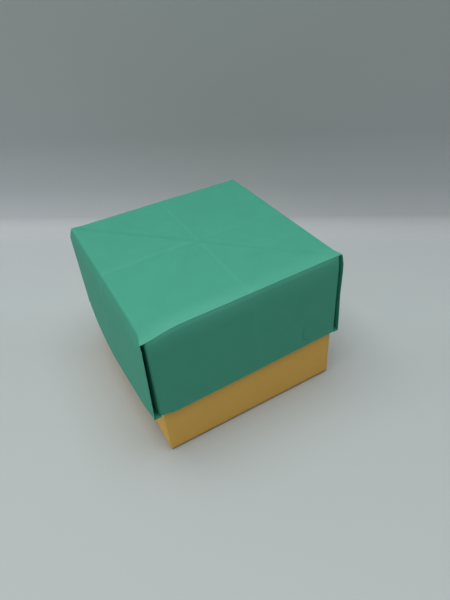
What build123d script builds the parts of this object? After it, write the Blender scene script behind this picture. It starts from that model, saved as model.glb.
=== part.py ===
"""Two-piece origami box: a masu base and a slightly wider masu lid.

Each piece is one square sheet.  Its corners are folded to the middle, its four
walls are stood up and doubled over, and the spare paper at each corner is
tucked as a triangular gusset between the leaves of the end wall.  Nothing is
cut or glued.  The frame has +Z up and its origin on the floor under the middle
of the base.  The lid's plain side walls face -Y and +Y, and the base is turned
a quarter round inside it.
"""

import os
from math import sqrt

from build123d import *

# Paper
sheet_side = 210.0  # lid's square, cut from the width of a common letter sheet
thickness = 0.16
air = 0.06  # film of air between two folded layers

# Folds
floor_fold_radius = 0.6  # outside of the fold between the floor and a wall
corner_fold_radius = 1.0  # outside of the upright fold between wall and gusset
inner_fold_radius = 0.2  # inside of the fold between an inner leaf and its tip
rim_round_share = 0.85  # how much of a thick rim's half width its rounding takes
point_gap = 0.5  # space left between folded points that meet

# Boxes
lid_ease = 0.7  # how much the lid is folded wider than a quarter of its diagonals
end_wall_spring = 1.1  # how far the lid's end walls spring off beside the floor
end_wall_splay = 1.5  # how far they stand out at the ends of the rim
end_wall_bow = 2.3  # how much further they stand out at the middle of the rim
spring_height = 4.0  # how far from the floor the springing off ends
spring_radius = 3.0
fit_gap = 0.3  # space between the lid's end walls and the base, each side
lid_overlap = 14.3  # how far the lid reaches down over the base

# Worked out from the sheet
pitch = thickness + air
side_wall_width = pitch + thickness  # two leaves
end_wall_width = 5 * pitch + thickness  # two leaves and the four of a gusset
blintz_side = sheet_side / sqrt(2)  # with its corners folded to the middle
lid_side = blintz_side / 2 + lid_ease
lid_wall = (blintz_side - lid_side) / 2
base_side = lid_side - 2 * (end_wall_width + fit_gap)
base_wall = base_side / 2  # the base is a true masu of a smaller sheet

# Stations along a wall, from its middle crease to the corner folds at 1 and -1
whole_wall = (-1, 0, 1)
half_wall = (0, 1)

# Section planes of a box, whose sketches are swept the other way
across = Plane.XZ
along = Plane.YZ


def rim_height(wall):
    """Height of an end wall's rim, which goes over both folds of the gussets."""
    return wall + 2 * pitch


def paper(points, radii, depth=thickness):
    """Section of paper folded along points, with its depth to their left."""
    with BuildSketch() as section:
        with BuildLine():
            skin = FilletPolyline(*points, radius=radii)
            offset(skin, amount=depth, side=Side.LEFT, mode=Mode.ADD)
        make_face()
    return section.sketch


def rim_radius(width):
    """Rounding of a rim: two leaves alone make a sharp crease, more make a round one."""
    return 0 if width == side_wall_width else rim_round_share * width / 2


def leaf_points(half, height, width, spring, splay, lean):
    """Foot of an outer leaf, the way up it, and the rim over to the inner leaf."""
    points = [(half, 0), (half + splay, height), (half - width + lean, height)]
    if spring:
        share = spring_height / height
        points.insert(1, (half + spring + lean * share, spring_height))
    return points


def leaf_radii(width, spring):
    """Rounding of the outer leaf's bend, if it has one, and of the rim's two sides."""
    rim = rim_radius(width)
    return [spring_radius, rim, rim] if spring else [rim, rim]


def wall_section(half, height, width, spring=0, splay=0, lean=0):
    """Floor, outer leaf, rim, inner leaf and tip of a wall, from the middle out."""
    points = [
        (0, 0),
        *leaf_points(half, height, width, spring, splay, lean),
        (half - width, side_wall_width),
        (0, side_wall_width),
    ]
    return paper(points, [floor_fold_radius, *leaf_radii(width, spring), inner_fold_radius])


def leaf_section(half, height, width, spring=0, splay=0, lean=0, depth=thickness):
    """Two leaves joined over a rim and open at the foot."""
    points = [
        *leaf_points(half, height, width, spring, splay, lean),
        (half - width, 0),
    ]
    return paper(points, leaf_radii(width, spring), depth)


def bowed_strip(section, stations, half, reach, bow):
    """Leaves along Y, which lean out with the bow and stand still at the corner folds."""
    run = half - corner_fold_radius - thickness
    with BuildPart() as strip:
        for station in stations:
            with BuildSketch(across.offset(-station * run)):
                add(section(0 if station else bow))
        loft(ruled=True)
        for end in filter(None, stations):
            with BuildSketch(across.offset(-end * run)):
                add(section(0))
            extrude(amount=end * (run - reach))
    return strip.part


def tip_waste(half, reach):
    """Ground beside a tip that reaches along +Y and narrows to a point at the middle."""
    with BuildSketch() as waste:
        with BuildLine():
            Polyline(
                (-half, 0),
                (half, 0),
                (half, reach),
                (reach - point_gap, reach),
                (0, point_gap),
                (point_gap - reach, reach),
                (-half, reach),
                close=True,
            )
        make_face()
    return waste.sketch


def make_side_wall(half, height):
    """Half of the floor with a side wall on +Y, between its two corner folds."""
    with BuildPart() as wall:
        with BuildSketch(along):
            add(wall_section(half, height, side_wall_width))
        extrude(amount=half - 2 * pitch - corner_fold_radius, both=True)
        with BuildSketch(Plane.XY.offset(thickness + air / 2)):
            add(tip_waste(half, half - side_wall_width + thickness + air / 2))
        extrude(amount=side_wall_width + inner_fold_radius, mode=Mode.SUBTRACT)
    return wall.part


def make_end_wall(half, height, spring, splay, bow):
    """Half of the floor with an end wall on +X: two leaves, their rim and the tip."""
    top = rim_height(height)
    turn = half - corner_fold_radius
    floor_top = (0, 0, thickness + air / 2)

    def section(lean):
        return wall_section(half, top, end_wall_width, spring, splay + lean, lean)

    with BuildPart() as wall:
        add(bowed_strip(section, whole_wall, half, half, bow))
        with BuildSketch(Plane(floor_top, x_dir=(0, -1, 0))):
            add(tip_waste(half, half - end_wall_width + thickness + air / 2))
        extrude(amount=side_wall_width + inner_fold_radius, mode=Mode.SUBTRACT)
        # The inner leaf ends where the corner folds begin to turn
        with BuildSketch(Plane(floor_top)):
            with Locations((0, turn), (0, -half)):
                Rectangle(half - end_wall_width / 2, corner_fold_radius, align=Align.MIN)
        extrude(amount=top, mode=Mode.SUBTRACT)
        # The floor is rounded into the side walls at both ends
        with BuildSketch(along):
            Rectangle(2 * half, top, align=(Align.CENTER, Align.MIN))
            fillet(vertices().group_by(Axis.Y)[0], radius=floor_fold_radius)
        extrude(amount=half + splay + bow, mode=Mode.INTERSECT)
    return wall.part


def make_corner_fold(half, height):
    """Upright fold that carries both leaves of a side wall round to the gusset."""
    centre = (half - 2 * pitch - corner_fold_radius, half - corner_fold_radius, 0)
    inside = corner_fold_radius - side_wall_width
    points = [
        (0, 0),
        (corner_fold_radius, 0),
        (corner_fold_radius, height),
        (inside, height),
        (inside, floor_fold_radius),
    ]
    with BuildPart() as fold:
        with BuildSketch(Plane(centre, x_dir=(0, 1, 0), z_dir=(1, 0, 0))):
            add(paper(points, [floor_fold_radius, 0, 0]))
        revolve(axis=Axis(centre, (0, 0, -1)), revolution_arc=90)
    return fold.part


def make_gusset(half, height, spring, splay, bow):
    """Spare paper of a corner, as two leaves off each wall, with its upright folds."""
    top = rim_height(height)
    turn = half - corner_fold_radius
    middle = half - end_wall_width / 2
    point = half - height + point_gap
    upright_fold = leaf_section(
        half, top, end_wall_width, spring, splay, depth=side_wall_width
    )

    def end_leaves(lean):
        width = end_wall_width - 2 * pitch
        return leaf_section(half - pitch, top - pitch, width, spring, splay + lean, lean)

    def side_leaves(lean):
        return leaf_section(half - 2 * pitch, height, side_wall_width, 0, lean, lean)

    with BuildPart() as gusset:
        # Leaves off the end wall, and the folds that join them to its own leaves
        add(bowed_strip(end_leaves, half_wall, half, half, bow))
        with BuildSketch(across.offset(thickness - half)):
            add(upright_fold)
        extrude(amount=-thickness)
        with BuildSketch(Plane.XY):
            with Locations((0, turn)):
                Rectangle(middle, corner_fold_radius, align=Align.MIN)
        extrude(amount=top, mode=Mode.SUBTRACT)
        with BuildSketch(across.offset(thickness - turn)):
            add(upright_fold)
            Rectangle(middle, top, align=Align.MIN, mode=Mode.INTERSECT)
        extrude(amount=-thickness)
        # Leaves off the side wall, which lie between them
        add(bowed_strip(side_leaves, half_wall, half, turn, bow))
        # All are triangles that stand above the diagonal of the corner
        with BuildSketch(along):
            with BuildLine():
                Polyline(
                    (half, floor_fold_radius),
                    (half, top),
                    (point, top),
                    (point, height - point_gap),
                    (half - floor_fold_radius, floor_fold_radius),
                    close=True,
                )
            make_face()
        extrude(amount=half + splay + bow, mode=Mode.INTERSECT)
    return gusset.part


def make_diagonal_fold(half, height, spring, splay, bow):
    """Fold along the corner's diagonal, from the middle of one leaf to the next one's."""
    point = half - height + point_gap
    step = thickness * sqrt(2)
    middle = half - pitch - thickness / 2

    def section(lean):
        with BuildSketch() as slab:
            with BuildLine():
                Polyline(
                    *leaf_points(middle, height, pitch, spring, splay + lean, lean),
                    (middle - pitch, 0),
                    close=True,
                )
            make_face()
        return slab.sketch

    with BuildPart() as fold:
        add(bowed_strip(section, half_wall, half, half, bow))
        with BuildSketch(along):
            with BuildLine():
                Polyline(
                    (half - floor_fold_radius, floor_fold_radius),
                    (half - floor_fold_radius + step, floor_fold_radius),
                    (point, height - point_gap + step),
                    (point, height - point_gap),
                    close=True,
                )
            make_face()
        extrude(amount=half + splay + bow, mode=Mode.INTERSECT)
    return fold.part


def make_masu(side, height, spring=0, splay=0, bow=0):
    """Whole folded box, standing on its floor, with its end walls on -X and +X."""
    half = side / 2
    side_wall = make_side_wall(half, height)
    end_wall = make_end_wall(half, height, spring, splay, bow)
    with BuildPart() as corners:
        add(make_corner_fold(half, height))
        add(make_gusset(half, height, spring, splay, bow))
        add(make_diagonal_fold(half, height, spring, splay, bow))
        mirror(about=along)
        mirror(about=across)
    with BuildPart() as box:
        add(side_wall)
        mirror(side_wall, about=across)
        add(end_wall)
        mirror(end_wall, about=along)
        add(corners.part)
    return box.part


lid_top = rim_height(base_wall) - lid_overlap + rim_height(lid_wall)

with BuildPart() as base:
    add(make_masu(base_side, base_wall), rotation=(0, 0, 90))
base.part.label = "base"

with BuildPart(Plane.XY.offset(lid_top)) as lid:
    add(
        make_masu(lid_side, lid_wall, end_wall_spring, end_wall_splay, end_wall_bow),
        rotation=(180, 0, 0),
    )
lid.part.label = "lid"

os.makedirs("parts", exist_ok=True)
export_step(base.part, "parts/base.step")
export_step(lid.part, "parts/lid.step")
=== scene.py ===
"""Looks of a two-piece origami box: folded green lid on a folded yellow base.

Every sheet starts from its folded solid, is cut into a fine net of faces, and is
then given the slack, crowned and creased form that hand-folded paper has.
Lengths are in metres, and mm turns millimetres into them.
"""

import math

import bmesh
import bpy
from mathutils import Matrix, Vector, noise


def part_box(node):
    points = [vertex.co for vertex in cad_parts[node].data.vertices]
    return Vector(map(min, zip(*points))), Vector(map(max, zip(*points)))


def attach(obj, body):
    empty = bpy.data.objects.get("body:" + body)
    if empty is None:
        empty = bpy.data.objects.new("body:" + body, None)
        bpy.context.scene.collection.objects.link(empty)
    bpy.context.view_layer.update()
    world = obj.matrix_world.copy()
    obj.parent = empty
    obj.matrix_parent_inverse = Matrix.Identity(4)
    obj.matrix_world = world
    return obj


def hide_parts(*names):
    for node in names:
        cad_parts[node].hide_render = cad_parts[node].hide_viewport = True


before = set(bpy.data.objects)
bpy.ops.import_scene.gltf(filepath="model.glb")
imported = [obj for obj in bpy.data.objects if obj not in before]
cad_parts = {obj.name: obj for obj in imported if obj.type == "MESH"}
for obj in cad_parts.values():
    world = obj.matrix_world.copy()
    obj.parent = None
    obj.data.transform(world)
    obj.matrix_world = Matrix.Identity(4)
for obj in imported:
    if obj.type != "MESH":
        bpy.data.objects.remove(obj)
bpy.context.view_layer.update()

mm = 0.001
slant = math.sqrt(0.5)  # part along each of two axes of a direction half way between them

# Places and sizes, from the folded solids
lid_low, lid_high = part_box("lid")
base_low, base_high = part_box("base")
lid_half = lid_high.y  # half the lid's side, to the outside of its plain walls
lid_tall = lid_high.z - lid_low.z
base_half = base_high.y
base_tall = base_high.z

# Net of faces
weld = 0.002 * mm  # points nearer than this are one point
flat = math.radians(0.3)  # faces that bend by less are one face
hard = math.radians(28)  # faces that bend by more meet in a hard edge
net_step = 1.8 * mm
crease_shoulder = 0.45 * mm  # half width of a pressed crease
fold_steps = [step * mm for step in (0.3, 0.7, 1.1, 1.6, 2.2, 3.0)]  # cuts beside a fold

# Soft folds, rounder than the solid's
fold_rounding = 0.24 * mm  # how far the corner of a fold is pulled in
fold_reach = 1.1 * mm  # how far from the corner the pull dies away
crisp = 0.7  # share of the pull that is missing at the lid's corners
crisp_band = (5 * mm, 0)
end_fold_share = 0.5  # pull along the lid's end walls
base_fold_share = 1.5  # pull along the foot of the base
base_corner_share = 0.8  # pull along the base's upright corners

# End walls of the lid, as the solid has them
spring = 1.1 * mm  # how far they spring off beside the top
spring_down = 4 * mm  # how far down the springing off ends
splay = 1.5 * mm  # how far they stand out at the ends of the rim
bow = 2.3 * mm  # how much further they stand out at its middle
wall_run = lid_half - 1.16 * mm  # from the middle to where the bow has died away
leaf_pair = 0.42 * mm  # a leaf and its neighbour, with the air between them
stack = 1.4 * mm  # all the leaves of an end wall

# Bands beside the lid's edges: how far in a change begins, and how far in it is whole
all_leaves = (2.2 * stack, stack)
outer_leaf = (0.9 * mm, 0.1 * mm)
end_wall = (1.0 * mm, 0.2 * mm)
plain_wall = (1.2 * mm, 0.5 * mm)

# Slack of the lid's end walls
swell = 0.5 * mm  # how much rounder than a single bend they bow
flare = 0.8 * mm  # how much further one end of the left wall's rim stands out
flare_start = 0.3  # where the flare begins, as a share of half the wall
spring_round = 0.28 * mm  # how far the bend of the springing off is rounded
spring_soft = 2.4 * mm  # how far above and below the bend that reaches
corner_out = {-1: 1.0 * mm, 1: 0.55 * mm}  # how far the front corners stand out, left and right
corner_start = 0.89  # where that begins, as a share of half the wall
pinch = 0.35 * mm  # how much narrower the right pleat is half way down
pinch_tall = 9 * mm  # how far above and below that it reaches
pinch_start = 0.8  # where it begins, as a share of half the wall
press = 0.6  # how much thinner the leaves are where they are pressed sharp
press_band = (2.5 * mm, 0)

# Slack of the lid's top
crown = 0.3 * mm  # rise of the top's middle over its edges
droop = 1.7 * mm  # how far the nearest corner hangs
droop_reach = 7.2 * mm
far_droop = 0.2 * mm  # how far the corner across from it hangs
far_reach = 5 * mm
long_crease = (0.26 * mm, 0.13 * mm)  # depth in the left half and in the right
level_crease = (0.2 * mm, 0.1 * mm)  # the same, of the crease along X
faint_crease = 0.08 * mm  # depth of the other creases

# Lie of the whole lid, askew
tilt = 0.3 * mm  # rise from its middle to its back
skew = 0.52 * mm  # rise of its left and right corners, and fall of its near and far ones
rim_rise = 0.2 * mm  # rise of the rim over the top along the middle, twice that in front
rim_turn = 0.25 * mm  # how much more that is at the right, and less at the left

# Slack of the lid's plain walls and rim
wall_lean = 0.6 * mm  # how far the plain walls lean in towards the top
wall_bulge = 0.3 * mm  # how far they stand out below that
lean_down = 8.5 * mm  # how far down the lean ends
lean_band = (8 * mm, 0.5 * mm)
mid_line_down = (1 * mm, 4 * mm)  # where their middle crease begins and is whole
corner_lift = 1.1 * mm  # how far the rim is lifted at the nearest corner
lift_beside = (6 * mm, stack)
lift_near = (7 * mm, 0)

# Slack of the base, in the part of it that the lid leaves bare
bare = 21 * mm  # height to which the lid leaves it bare
cover = 30 * mm  # height from which it is as the solid has it
base_wide = 0.25 * mm  # how far its sides stand out
base_deep = 0.85 * mm  # how far its front and back stand out
base_droop = 2.1 * mm  # how far its nearest corner is pressed down, under the lid's
base_droop_reach = 7.5 * mm

# Unevenness of the paper: its height, and how many to a metre
lid_ripple, lid_ripples = 0.1 * mm, 40
base_ripple, base_ripples = 0.08 * mm, 45
base_ripple_start = Vector((3, 1, 7))  # so that the two sheets differ

# Tints along the creases: painted shade inside a fold, paler lines along others,
# and a broad painted highlight over the lid's front fold
painted_shade_tint = "3C8F77"
pale_and_highlight_tint = "66BCA4"
tint_run = 8 * mm  # a tint turns from its near to its far strength this far about its middle

# Each tinted line of the lid, painted shade along creases, paler lines, and the painted highlight
# over
# the front fold: the direction across it and how far out it lies, the direction along it,
# how strong its tint is at the near and far ends, its half width, the tint
lid_painted_lines = [
    # painted shade along the long diagonal crease, and faintly along the one across it
    ((slant, slant, 0), 0.1 * mm, (slant, -slant, 0), 0.22, 0.15, 1.4 * mm, painted_shade_tint),
    ((slant, -slant, 0), 0.0, (slant, slant, 0), 0.03, 0.02, 1.2 * mm, painted_shade_tint),
    # paler lines along the top's level crease and down the middle of the front wall
    ((0, 1, 0), 0.9 * mm, (1, 0, 0), 0.11, 0.02, 1.8 * mm, pale_and_highlight_tint),
    ((1, 0, 0.094), 6.1 * mm, (0, 1, 0), 0.05, 0.06, 1.3 * mm, pale_and_highlight_tint),
    # broad painted highlight over the rounded front fold
    ((0, slant, -slant), -68.3 * mm, (1, 0, 0), 0.36, 0.24, 6.0 * mm, pale_and_highlight_tint),
]

# Crescent that a fingernail has pressed into the lid's front wall, drawn as painted shade in its
# dent
nail_centre = (25.9 * mm, -37.5 * mm, 29.8 * mm)
nail_radius = 4.2 * mm
nail_line = 0.27 * mm  # half its thickness
nail_side = (-0.955, 0.0, -0.297)  # direction in which the arc is kept
nail_fade = (-31.8 * mm, -31.3 * mm)  # how far that way it begins and is whole

# Paper: clouds of uneven dye, and fibres drawn as coarse as they need to be to show,
# since real ones are a tenth as wide
cloud_size = 6.25 * mm
fibre_size = mm / 2.6
fibre_height = 0.05 * mm
paper_roughness = 0.72
paper_specular = 0.3

# Backdrop of pale card, which curves up from the table as in a light tent
table_half = 1.0
table_gap = 0.03 * mm  # keeps the table top from lying in the underside of the box
tent_back = 94 * mm  # from the middle of the box to where the table begins to curve
tent_curve = 10 * mm
tent_curve_faces = 24
tent_height = 0.4
tent_turn = math.radians(35.6)
card_roughness = 0.9
card_run = 220 * mm  # how far the card's shades reach from under the box up the back
# Painted light and shade on the card, lighter at its foot and bend and darker up the back:
# how far along the card each shade lies, in mm, and the shade
card_painted_shades = [
    (0, "BCC1C2"),
    (30, "C3C9CA"),
    (100, "C7CACD"),
    (115, "D7D9DD"),
    (134, "BFC4C8"),
    (163, "AAAFB2"),
    (220, "A6ADAD"),
]

# Light
light_colour = (0.97, 1.0, 0.99)
light_aim = Vector((0, 0, 30 * mm))
room_strength = 0.155
# Place, side and energy of each panel
panels = {
    "overhead_panel": ((-0.03, 0.0, 0.9), 0.9, 8.2),
    "left_panel": ((-0.7, 0.0, 0.2), 0.4, 0.75),
}

# Sockets for colour of a Mix node, which share their names with its other sockets
mix_share, mix_from, mix_to, mix_out = 0, 6, 7, 2


def srgb(text):
    """Linear colour of an sRGB hex value."""
    shades = [int(text[i : i + 2], 16) / 255 for i in (0, 2, 4)]
    linear = [s / 12.92 if s <= 0.04045 else ((s + 0.055) / 1.055) ** 2.4 for s in shades]
    return (*linear, 1.0)


def select_only(piece):
    """Selects one piece alone and makes it the one that operators work on."""
    bpy.ops.object.select_all(action="DESELECT")
    piece.select_set(True)
    bpy.context.view_layer.objects.active = piece


def bell(distance, width):
    """1 at the middle, falling smoothly to almost nothing at twice the width."""
    return math.exp(-((distance / width) ** 2))


def copied_sheet(node, name):
    """Copy of a folded solid as its own piece, with its flat faces made whole."""
    piece = bpy.data.objects.new(name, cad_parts[node].data.copy())
    bpy.context.collection.objects.link(piece)
    piece.data.materials.clear()
    select_only(piece)
    bpy.ops.object.mode_set(mode="EDIT")
    bpy.ops.mesh.select_all(action="SELECT")
    bpy.ops.mesh.customdata_custom_splitnormals_clear()
    bpy.ops.mesh.remove_doubles(threshold=weld)
    bpy.ops.mesh.dissolve_limited(angle_limit=flat)
    bpy.ops.object.mode_set(mode="OBJECT")
    return piece


def cut(normal, places):
    """Cuts the piece being edited by planes of one direction, each at its distance."""
    for place in places:
        bpy.ops.mesh.select_all(action="SELECT")
        bpy.ops.mesh.bisect(plane_co=Vector(normal) * place, plane_no=normal)


def spread(low, high):
    """Evenly spaced places strictly between two ends."""
    count = max(2, round((high - low) / net_step))
    return [low + (high - low) * i / count for i in range(1, count)]


def net(piece, half, floor, rim):
    """Cuts a sheet into a net that follows its folds, walls and pressed creases."""
    select_only(piece)
    bpy.ops.object.mode_set(mode="EDIT")
    creases = (-crease_shoulder, 0.0, crease_shoulder)
    open_half = half - fold_steps[-1]
    inner = [p for p in spread(-open_half, open_half) if abs(p) > crease_shoulder]
    beside = [half - step for step in (*fold_steps, 0)]
    across = [*creases, *inner, *beside, *(-p for p in beside)]
    cut((1, 0, 0), across)
    cut((0, 1, 0), across)
    up = math.copysign(1, rim - floor)
    cut((0, 0, 1), [floor + up * step for step in fold_steps])
    cut((0, 0, 1), spread(*sorted((floor + up * fold_steps[-1], rim))))
    cut((slant, slant, 0), creases)
    cut((slant, -slant, 0), creases)
    bpy.ops.object.mode_set(mode="OBJECT")


def shape(piece, move):
    """Moves every point of a piece by what the function says for its place."""
    for vertex in piece.data.vertices:
        vertex.co += move(vertex.co)


def finish_sheet(piece, body, node, material):
    """Gives a sheet its shading, its paper and its place in the frame."""
    select_only(piece)
    bpy.ops.object.shade_smooth_by_angle(angle=hard)
    piece.data.materials.append(material)
    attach(piece, body)
    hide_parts(node)


def smooth(value, low, high):
    """Eased rise from 0 to 1 between two ends."""
    share = min(1.0, max(0.0, (value - low) / (high - low)))
    return share * share * (3 - 2 * share)


def nearing(distance, band):
    """Eased rise from 0 to 1 through a band beside the lid's edge."""
    begins, whole = band
    return smooth(distance, lid_half - begins, lid_half - whole)


def crease(distance, depth):
    """Pressed fold line: a shallow valley with straight shoulders."""
    return -depth * max(0.0, 1 - abs(distance) / crease_shoulder)


def pull(distance, other):
    """How far a soft fold is pulled in, from the distances to its two faces."""
    return fold_rounding * bell(math.hypot(distance, other), fold_reach)


def leaf_place(along, down):
    """How far beyond the top's edge the outer leaf of an end wall stands."""
    share = down / lid_tall
    lean = bow * max(0.0, 1 - abs(along) / wall_run) * share
    if down < spring_down:
        return spring * down / spring_down + lean
    return spring + (splay - spring) * (down - spring_down) / (lid_tall - spring_down) + lean


def thinned(depth, share):
    """How far a point moves when the leaves above it are pressed to a sharp edge."""
    if depth < leaf_pair:
        return share * depth
    return share * leaf_pair * max(0.0, 2 - depth / leaf_pair)


def end_wall_slack(side, across, along, down):
    """How far a point of an end wall stands out from its place in the solid."""
    place = min(1.0, abs(along) / lid_half)
    share = down / lid_tall
    outer = nearing(across, outer_leaf)
    out = 4 * swell * place * (1 - place) * share * nearing(across, all_leaves)
    if side < 0:
        out += flare * share * smooth(-along / lid_half, flare_start, 1.0) * outer
    # Beside the top the leaves spring off in a curve
    out -= spring_round * bell(down - spring_down, spring_soft) * (1 - place**4) * outer
    # The fold at an open end is pressed sharp, and in front it pulls the top's corner out
    depth = max(0.0, leaf_place(along, down) - across + lid_half)
    if along < 0 and depth < leaf_pair:
        near_top = 1 - smooth(down, 0, spring_down)
        out += corner_out[side] * smooth(place, corner_start, 1.0) * near_top
    if along < 0 < side:
        half_way = bell(down - lid_tall / 2, pinch_tall)
        out -= pinch * half_way * smooth(place, pinch_start, 1.0) * outer
    return out + thinned(depth, press * nearing(abs(along), press_band))


def top_slack(x, y):
    """Rise of the lid's top: crowned between its end walls, and creased."""
    u = min(1.0, abs(x) / lid_half)
    v = min(1.0, abs(y) / lid_half)
    half = 0 if x < 0 else 1
    rise = crown * (1 - u * u) * (1 - v * v)
    rise -= droop * bell(math.hypot(x + lid_half, y + lid_half), droop_reach)
    rise -= far_droop * bell(math.hypot(x - lid_half, y - lid_half), far_reach)
    rise += crease((x + y) * slant, long_crease[half])
    rise += crease((x - y) * slant, faint_crease)
    rise += crease(y, level_crease[half])
    rise += crease(x, faint_crease)
    return rise


def twist(x, y, down):
    """Rise of the whole lid, whose folds hold it a little askew."""
    u = x / lid_half
    v = y / lid_half
    lower = (rim_rise + rim_turn * u) * (1 - v) * down / lid_tall
    return tilt * v - skew * u * v + lower


def lid_slack(co):
    """How far a point of the lid lies from its place in the solid."""
    down = lid_high.z - co.z
    side = math.copysign(1, co.x)
    face = math.copysign(1, co.y)
    crisp_x = 1 - crisp * nearing(abs(co.x), crisp_band)
    crisp_y = 1 - crisp * nearing(abs(co.y), crisp_band)
    end_fold = end_fold_share * crisp_y * pull(lid_half - abs(co.x), down)
    side_fold = crisp_x * pull(lid_half - abs(co.y), down)
    # Out of the end walls, and out of the plain walls
    out = end_wall_slack(side, abs(co.x), co.y, down) - end_fold
    lean = wall_lean * max(0.0, 1 - down / lean_down) ** 2 - wall_bulge
    lean *= nearing(abs(co.y), lean_band)
    mid_line = crease(co.x, faint_crease) * smooth(down, *mid_line_down)
    mid_line *= nearing(abs(co.y), plain_wall)
    # Up
    rise = top_slack(co.x, co.y) * max(0.0, 1 - down / lid_tall) - max(end_fold, side_fold)
    rise += twist(co.x, co.y, down)
    near_corner = nearing(-co.x, lift_beside) * nearing(-co.y, lift_near)
    rise += corner_lift * near_corner * (down / lid_tall) ** 2
    pressed = press * nearing(abs(co.x), end_wall) * nearing(abs(co.y), press_band)
    rise -= thinned(max(0.0, lid_tall - down), pressed)
    ripple = lid_ripple * noise.noise(co * lid_ripples)
    return Vector((side * out, face * (mid_line - side_fold - lean) + ripple, rise + ripple))


def base_slack(co):
    """How far a point of the base lies from its place in the solid."""
    high = co.z / base_tall
    side = math.copysign(1, co.x)
    face = math.copysign(1, co.y)
    corner = base_corner_share * pull(base_half - abs(co.x), base_half - abs(co.y))
    side_fold = base_fold_share * pull(base_half - abs(co.x), co.z)
    face_fold = base_fold_share * pull(base_half - abs(co.y), co.z)
    free = 1 - smooth(co.z, bare, cover)
    out_x = base_wide * free * abs(co.x) / base_half - max(corner, side_fold)
    out_y = base_deep * free * abs(co.y) / base_half - max(corner, face_fold)
    near = math.hypot(co.x + base_half, co.y + base_half)
    rise = max(side_fold, face_fold) - base_droop * bell(near, base_droop_reach) * high**2
    ripple = base_ripple * noise.noise(co * base_ripples + base_ripple_start) * high
    return Vector((side * out_x + ripple, face * out_y + ripple, rise))


def new_material(name):
    """Material with its tree of nodes and its shader."""
    material = bpy.data.materials.new(name)
    material.use_nodes = True
    tree = material.node_tree
    return material, tree, tree.nodes["Principled BSDF"]


def add(tree, kind, settings=None, inputs=None):
    """Adds a node, with its settings and the values or links of its inputs."""
    node = tree.nodes.new(kind)
    for name, value in (settings or {}).items():
        setattr(node, name, value)
    for name, value in (inputs or {}).items():
        if isinstance(value, bpy.types.NodeSocket):
            tree.links.new(value, node.inputs[name])
        else:
            node.inputs[name].default_value = value
    return node


def crease_light_and_shade(tree, place, colour, row):
    """Tint along a crease or fold, as its row gives: painted shade, a paler line, or a broad
    painted highlight.
    """
    across, offset, along, near, far, width, tint = row
    reach = add(tree, "ShaderNodeVectorMath", {"operation": "DOT_PRODUCT"}, {0: place, 1: across})
    gap = add(
        tree,
        "ShaderNodeMath",
        {"operation": "SUBTRACT"},
        {0: reach.outputs["Value"], 1: offset},
    )
    size = add(tree, "ShaderNodeMath", {"operation": "ABSOLUTE"}, {0: gap.outputs[0]})
    run = add(tree, "ShaderNodeVectorMath", {"operation": "DOT_PRODUCT"}, {0: place, 1: along})
    ends = {"From Min": -tint_run, "From Max": tint_run, "To Min": near, "To Max": far}
    depth = add(tree, "ShaderNodeMapRange", inputs={"Value": run.outputs["Value"], **ends})
    fade = {"From Min": width, "From Max": 0.0, "To Max": depth.outputs["Result"]}
    line = add(
        tree,
        "ShaderNodeMapRange",
        {"interpolation_type": "SMOOTHSTEP"},
        {"Value": size.outputs[0], **fade},
    )
    tinted = add(
        tree,
        "ShaderNodeMix",
        {"data_type": "RGBA"},
        {mix_share: line.outputs["Result"], mix_from: colour, mix_to: srgb(tint)},
    )
    return tinted.outputs[mix_out]


def nail_dent_shade(tree, place, colour, tint):
    """Painted shade in the nail's crescent dent: one side of a thin ring, in a darker tint."""
    reach = add(
        tree,
        "ShaderNodeVectorMath",
        {"operation": "DISTANCE"},
        {0: place, 1: nail_centre},
    )
    ring = add(
        tree,
        "ShaderNodeMath",
        {"operation": "COMPARE"},
        {0: reach.outputs["Value"], 1: nail_radius, 2: nail_line},
    )
    run = add(
        tree,
        "ShaderNodeVectorMath",
        {"operation": "DOT_PRODUCT"},
        {0: place, 1: nail_side},
    )
    begins, whole = nail_fade
    kept = add(
        tree,
        "ShaderNodeMapRange",
        inputs={"Value": run.outputs["Value"], "From Min": begins, "From Max": whole},
    )
    crescent = add(
        tree,
        "ShaderNodeMath",
        {"operation": "MULTIPLY"},
        {0: ring.outputs[0], 1: kept.outputs["Result"]},
    )
    marked = add(
        tree,
        "ShaderNodeMix",
        {"data_type": "RGBA"},
        {mix_share: crescent.outputs[0], mix_from: colour, mix_to: srgb(tint)},
    )
    return marked.outputs[mix_out]


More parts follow.
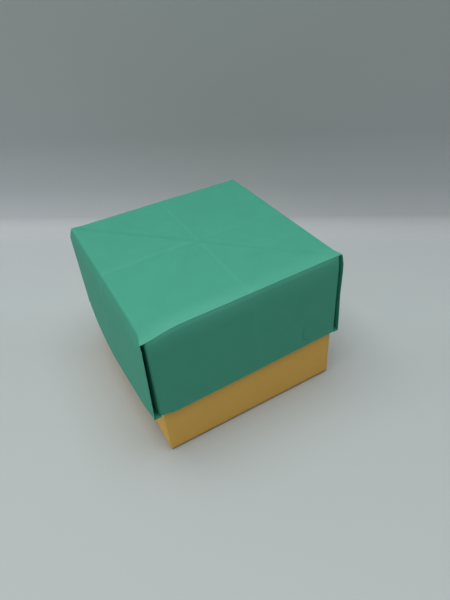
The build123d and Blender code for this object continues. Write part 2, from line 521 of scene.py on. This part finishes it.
def paper(name, colour, shade, creases=(), nail_shade=None):
    """Dyed uncoated craft paper: matt, with fibres and a faintly cloudy dye; tinted crease lines
    and the nail's painted shade are added where given.
    """
    material, tree, shader = new_material(name)
    place = add(tree, "ShaderNodeTexCoord").outputs["Object"]
    cloud = add(
        tree,
        "ShaderNodeTexNoise",
        inputs={"Vector": place, "Scale": 1 / cloud_size, "Detail": 4.0, "Roughness": 0.6},
    )
    mix = add(
        tree,
        "ShaderNodeMix",
        {"data_type": "RGBA"},
        {mix_share: cloud.outputs["Fac"], mix_from: srgb(colour), mix_to: srgb(shade)},
    )
    dye_and_painted_light = mix.outputs[mix_out]
    # Tints along the creases, with painted shade and a painted highlight among them, and painted
    # shade in the nail's dent
    for row in creases:
        dye_and_painted_light = crease_light_and_shade(tree, place, dye_and_painted_light, row)
    if nail_shade:
        dye_and_painted_light = nail_dent_shade(tree, place, dye_and_painted_light, nail_shade)
    tree.links.new(dye_and_painted_light, shader.inputs["Base Color"])
    fibre = add(
        tree,
        "ShaderNodeTexNoise",
        inputs={"Vector": place, "Scale": 1 / fibre_size, "Detail": 3.0, "Roughness": 0.7},
    )
    bump = add(
        tree,
        "ShaderNodeBump",
        inputs={"Height": fibre.outputs["Fac"], "Strength": 0.25, "Distance": fibre_height},
    )
    tree.links.new(bump.outputs["Normal"], shader.inputs["Normal"])
    shader.inputs["Roughness"].default_value = paper_roughness
    shader.inputs["Specular IOR Level"].default_value = paper_specular
    return material


def select_back_edge(piece):
    """Selects the edge at the back of a flat sheet that is being edited."""
    bpy.ops.mesh.select_all(action="DESELECT")
    mesh = bmesh.from_edit_mesh(piece.data)
    for edge in mesh.edges:
        edge.select_set(all(v.co.y > 0 and v.co.z < tent_height / 2 for v in edge.verts))
    bmesh.update_edit_mesh(piece.data)


def pale_card():
    """Matt card with painted light and shade: bright at its foot, darker towards the top of its
    back.
    """
    material, tree, shader = new_material("pale_matt_card")
    shader.inputs["Roughness"].default_value = card_roughness
    place = add(tree, "ShaderNodeTexCoord").outputs["Object"]
    # Along the table and then up the back
    along = (math.sin(tent_turn), math.cos(tent_turn), 1.0)
    reach = add(tree, "ShaderNodeVectorMath", {"operation": "DOT_PRODUCT"}, {0: place, 1: along})
    share = add(
        tree,
        "ShaderNodeMapRange",
        inputs={"Value": reach.outputs["Value"], "From Min": 0.0, "From Max": card_run},
    )
    ramp = add(tree, "ShaderNodeValToRGB", inputs={"Fac": share.outputs["Result"]})
    stops = ramp.color_ramp.elements
    while len(stops) < len(card_painted_shades):
        stops.new(0.5)
    for stop, (distance, shade) in zip(stops, card_painted_shades):
        stop.position = distance * mm / card_run
        stop.color = srgb(shade)
    tree.links.new(ramp.outputs["Color"], shader.inputs["Base Color"])
    # From behind and from below it is clear, so that every side of the box can be seen
    facing = add(tree, "ShaderNodeNewGeometry")
    clear = add(tree, "ShaderNodeBsdfTransparent")
    mixed = add(
        tree,
        "ShaderNodeMixShader",
        inputs={
            0: facing.outputs["Backfacing"],
            1: shader.outputs["BSDF"],
            2: clear.outputs["BSDF"],
        },
    )
    tree.links.new(mixed.outputs["Shader"], tree.nodes["Material Output"].inputs["Surface"])
    return material


def make_backdrop():
    """Pale table top that curves up into the back of a light tent."""
    bpy.ops.object.select_all(action="DESELECT")
    bpy.ops.mesh.primitive_plane_add(size=2 * table_half)
    backdrop = bpy.context.object
    backdrop.name = "backdrop"
    bpy.ops.object.mode_set(mode="EDIT")
    bpy.ops.mesh.select_mode(type="EDGE")
    select_back_edge(backdrop)
    bpy.ops.mesh.extrude_region_move(TRANSFORM_OT_translate={"value": (0, 0, tent_height)})
    select_back_edge(backdrop)
    bpy.ops.mesh.bevel(offset=tent_curve, segments=tent_curve_faces)
    bpy.ops.mesh.select_all(action="SELECT")
    back = tent_back + tent_curve - table_half
    bpy.ops.transform.translate(value=(0, back, -table_gap))
    bpy.ops.transform.rotate(value=tent_turn, orient_axis="Z", center_override=(0, 0, 0))
    bpy.ops.object.mode_set(mode="OBJECT")
    bpy.ops.object.shade_smooth()
    backdrop.data.materials.append(pale_card())


def make_camera():
    """Camera where the photo's was, held by hand and a little rolled.

    Its place, turn and lens were fitted to corners and edges that the photo shows.
    """
    focal_px = 493.94
    frame_px = 450
    azimuth = math.radians(-26.355)
    elevation = math.radians(39.552)
    roll = math.radians(-5.108)
    place = Vector((-61.748, -143.874, 159.046)) * mm
    back = Vector(
        (
            math.sin(azimuth) * math.cos(elevation),
            -math.cos(azimuth) * math.cos(elevation),
            math.sin(elevation),
        )
    )
    level = Vector((math.cos(azimuth), math.sin(azimuth), 0))
    rise = back.cross(level)
    right = math.cos(roll) * level + math.sin(roll) * rise
    up = -math.sin(roll) * level + math.cos(roll) * rise
    data = bpy.data.cameras.new("camera")
    data.sensor_fit = "HORIZONTAL"
    data.sensor_width = 36
    data.lens = focal_px / frame_px * data.sensor_width
    data.clip_start = 0.01
    camera = bpy.data.objects.new("camera", data)
    bpy.context.collection.objects.link(camera)
    turn = Matrix((right, up, back)).transposed().to_4x4()
    camera.matrix_world = Matrix.Translation(place) @ turn
    bpy.context.scene.camera = camera


def make_lamp(name, place, side, energy):
    """Soft square panel of light that faces the box."""
    data = bpy.data.lights.new(name, "AREA")
    data.size = side
    data.energy = energy
    data.color = light_colour
    lamp = bpy.data.objects.new(name, data)
    lamp.location = place
    aim = light_aim - lamp.location
    lamp.rotation_euler = aim.to_track_quat("-Z", "Y").to_euler()
    bpy.context.collection.objects.link(lamp)


def make_light():
    """Even light of the room, and the panels of the light tent."""
    world = bpy.data.worlds.new("room")
    bpy.context.scene.world = world
    world.use_nodes = True
    sky = world.node_tree.nodes["Background"]
    sky.inputs["Color"].default_value = (*light_colour, 1)
    sky.inputs["Strength"].default_value = room_strength
    for name, (place, side, energy) in panels.items():
        make_lamp(name, place, side, energy)


green_paper = paper(
    "green_dyed_craft_paper", "4AA68D", "429C82", creases=lid_painted_lines, nail_shade=painted_shade_tint
)
yellow_paper = paper("yellow_dyed_craft_paper", "F0BD5D", "E7B456")

lid = copied_sheet("lid", "lid_sheet")
net(lid, lid_half, lid_high.z, lid_low.z)
shape(lid, lid_slack)
finish_sheet(lid, "lid", "lid", green_paper)

base = copied_sheet("base", "base_sheet")
net(base, base_half, base_low.z, base_high.z)
shape(base, base_slack)
finish_sheet(base, "base", "base", yellow_paper)

make_backdrop()
make_camera()
make_light()
bpy.context.scene.view_settings.view_transform = "Standard"
